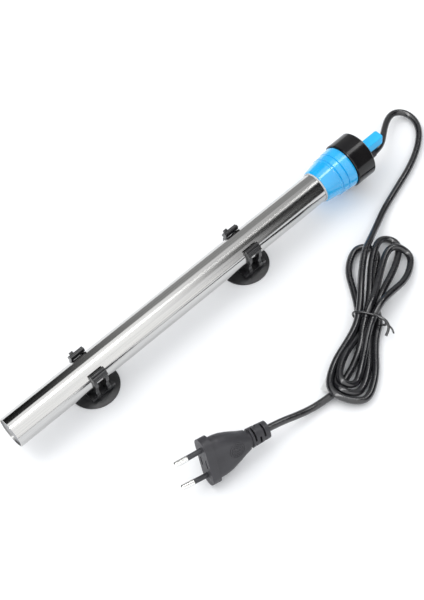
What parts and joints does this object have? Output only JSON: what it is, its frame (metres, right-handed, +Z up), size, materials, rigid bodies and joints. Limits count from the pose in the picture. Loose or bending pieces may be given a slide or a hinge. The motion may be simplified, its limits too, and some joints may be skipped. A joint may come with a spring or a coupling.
{
  "type": "submersible aquarium heater",
  "caption": "Submersible tube heater for an aquarium, with a boot and cap, a turning temperature grip, sliding suction-cup clips and a tied mains lead with plug.",
  "frame": {"origin": "under the middle of the heater, on the plane of the suction cups' rims", "axes": "+X along the tube from its closed end to the knob, +Z up away from the surface that the cups rest on"},
  "size_m": [0.3731, 0.1507, 0.0377],
  "materials": {
    "steel_tube": "polished, long soft streaks",
    "blue_boot": "semi-gloss soft rubber",
    "white_seal": "silicone",
    "black_cap": "high gloss moulding",
    "blue_knob": "semi-matte moulding",
    "black_rubber": "satin rubber",
    "clip_plastic": "satin moulding",
    "spindle_brass": "brass",
    "ceramic": "unglazed ceramic",
    "resistance_wire": "wound wire",
    "mica": "pressed mica",
    "board": "resin paper board",
    "bimetal": "rolled strip",
    "magnet": "sintered",
    "lamp_glass": "clear tube",
    "lead_insulation": "silicone insulation",
    "plug_rubber": "matte moulded PVC",
    "pin_metal": "nickel plated",
    "pin_sleeve": "moulded nylon",
    "cord_sheath": "satin rubber sheath",
    "tie_wire": "plastic coated wire",
    "paper_tag": "blank paper"
  },
  "bodies": {
    "heater": {"tube_shell": "steel_tube", "tube_end_disc": "steel_tube", "boot": "blue_boot", "seal_ring": "white_seal", "cap_housing": "black_cap", "knob_o_ring": "black_rubber", "sealing_bung": "black_rubber", "fixed_contact": "spindle_brass", "spindle_yoke": "spindle_brass", "ceramic_core": "ceramic", "front_spacer": "ceramic", "rear_spacer": "ceramic", "heating_winding": "resistance_wire", "insulating_sleeve": "mica", "thermostat_board": "board", "arm_post": "bimetal", "snap_magnet": "magnet", "indicator_lamp": "lamp_glass", "live_lead": "lead_insulation", "neutral_lead": "lead_insulation", "plug_body": "plug_rubber", "plug_strain_relief": "plug_rubber", "cord_gland": "plug_rubber", "plug_pin_left": "pin_metal", "plug_pin_right": "pin_metal", "pin_sleeve_left": "pin_sleeve", "pin_sleeve_right": "pin_sleeve", "cord_lead": "cord_sheath", "cord_tail": "cord_sheath", "cord_hank": "cord_sheath", "twist_tie": "tie_wire", "cord_tag": "paper_tag"},
    "knob": {"temperature_knob": "blue_knob", "adjusting_spindle": "spindle_brass"},
    "contact_arm": {"bimetal_strip": "bimetal", "moving_contact": "spindle_brass"},
    "clip_front": {"clip_front": "clip_plastic"},
    "clip_rear": {"clip_rear": "clip_plastic"},
    "cup_front": {"suction_cup_front": "black_rubber"},
    "cup_rear": {"suction_cup_rear": "black_rubber"}
  },
  "joints": [
    {"name": "knob_turn", "type": "hinge", "parent": "heater", "child": "knob", "pos_m": [0.144, 0, 0.0207], "axis": [1, 0, 0], "range_deg": [-135, 135]},
    {"name": "contact_open", "type": "hinge", "parent": "heater", "child": "contact_arm", "pos_m": [0.012, 0, 0.0197], "axis": [0, -1, 0], "range_deg": [0, 3], "stiffness_Nm_per_rad": 0.05},
    {"name": "clip_front_slide", "type": "slide", "parent": "heater", "child": "clip_front", "axis": [1, 0, 0], "range_m": [-0.04, 0.045]},
    {"name": "clip_rear_slide", "type": "slide", "parent": "heater", "child": "clip_rear", "axis": [1, 0, 0], "range_m": [-0.045, 0.045]},
    {"name": "cup_front_swivel", "type": "hinge", "parent": "clip_front", "child": "cup_front", "pos_m": [-0.102, 0, 0.005], "axis": [0, 0, 1], "continuous": true},
    {"name": "cup_rear_swivel", "type": "hinge", "parent": "clip_rear", "child": "cup_rear", "pos_m": [0.0325, 0, 0.005], "axis": [0, 0, 1], "continuous": true}
  ]
}
